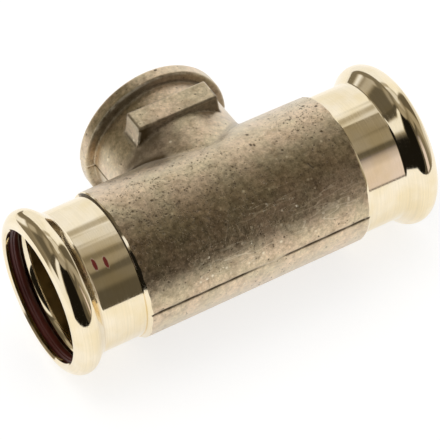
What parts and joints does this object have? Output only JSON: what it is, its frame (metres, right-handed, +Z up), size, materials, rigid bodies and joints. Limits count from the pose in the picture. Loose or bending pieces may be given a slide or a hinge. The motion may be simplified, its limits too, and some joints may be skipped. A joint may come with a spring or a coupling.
{
  "type": "press tee fitting",
  "caption": "Cast bronze pipe tee: a straight run with a beaded press socket and rubber seal ring at each end, and a female-threaded side branch with a collar and wrench bars.",
  "frame": {"origin": "crossing of the run's axis and the branch's axis", "axes": "+X along the run, +Y along the branch towards its mouth, +Z up with the run lying on its beads"},
  "size_m": [0.104, 0.0585, 0.0436],
  "materials": {
    "cast_bronze": "sand-cast skin, with turned and polished press ends",
    "seal_rubber": "smooth moulded, dark red-brown"
  },
  "bodies": {
    "root": {"tee_body": "cast_bronze", "seal_ring_left": "seal_rubber", "seal_ring_right": "seal_rubber"}
  },
  "joints": []
}
